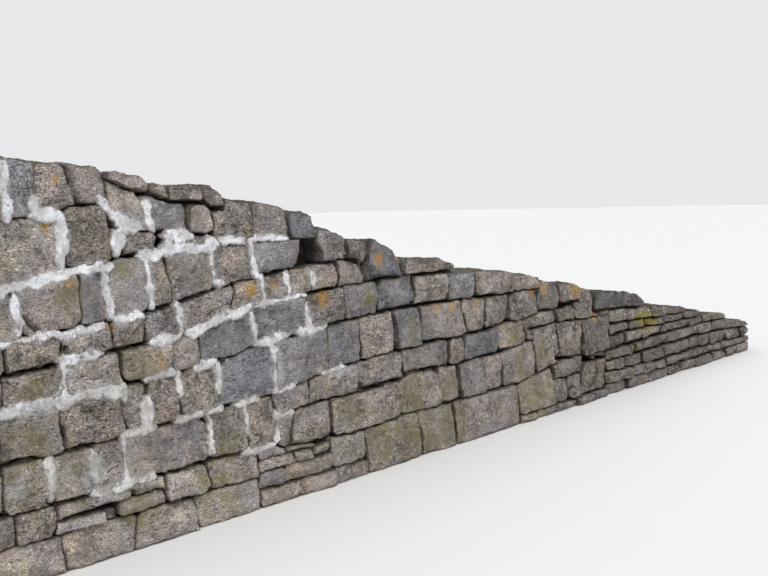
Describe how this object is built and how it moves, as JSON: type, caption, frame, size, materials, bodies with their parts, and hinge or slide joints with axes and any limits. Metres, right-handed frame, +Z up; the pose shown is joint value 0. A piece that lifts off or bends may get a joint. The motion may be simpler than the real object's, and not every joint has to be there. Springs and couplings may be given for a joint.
{
  "type": "dry stone wall",
  "caption": "Double-faced field wall of roughly coursed limestone with a rubble core; its stepped head falls from shoulder height to a low end and carries loose cope slabs.",
  "frame": {"origin": "middle of the wall's length and thickness, on the lowest ground it stands on", "axes": "+X along the wall towards its low end, -Y out of the front face that the picture shows, +Z up"},
  "size_m": [9, 0.62, 2.065],
  "materials": {
    "course_stone": "matte",
    "thin_bedded_stone": "matte",
    "cope_stone": "matte",
    "hearting_rubble": "matte",
    "lime_mortar": "matte"
  },
  "bodies": {
    "root": {"back_course_2": "course_stone", "back_course_3": "course_stone", "back_course_4": "course_stone", "back_course_5": "course_stone", "back_course_6": "course_stone", "back_course_7": "course_stone", "back_course_8": "course_stone", "back_footing_course": "course_stone", "back_levelling_course": "course_stone", "back_thin_bed_1": "thin_bedded_stone", "back_thin_bed_2": "thin_bedded_stone", "back_thin_bed_3": "thin_bedded_stone", "back_thin_bed_4": "thin_bedded_stone", "back_thin_bed_5": "thin_bedded_stone", "back_thin_bed_6": "thin_bedded_stone", "cope_slab_1": "cope_stone", "cope_slab_2": "cope_stone", "cope_slab_3": "cope_stone", "cope_slab_4": "cope_stone", "cope_slab_5": "cope_stone", "cope_slab_6": "cope_stone", "cope_slab_7": "cope_stone", "front_course_2": "course_stone", "front_course_3": "course_stone", "front_course_4": "course_stone", "front_course_5": "course_stone", "front_course_6": "course_stone", "front_course_7": "course_stone", "front_course_8": "course_stone", "front_footing_course": "course_stone", "front_levelling_course": "course_stone", "front_thin_bed_1": "thin_bedded_stone", "front_thin_bed_2": "thin_bedded_stone", "front_thin_bed_3": "thin_bedded_stone", "front_thin_bed_4": "thin_bedded_stone", "front_thin_bed_5": "thin_bedded_stone", "front_thin_bed_6": "thin_bedded_stone", "hearting": "hearting_rubble"}
  },
  "joints": []
}
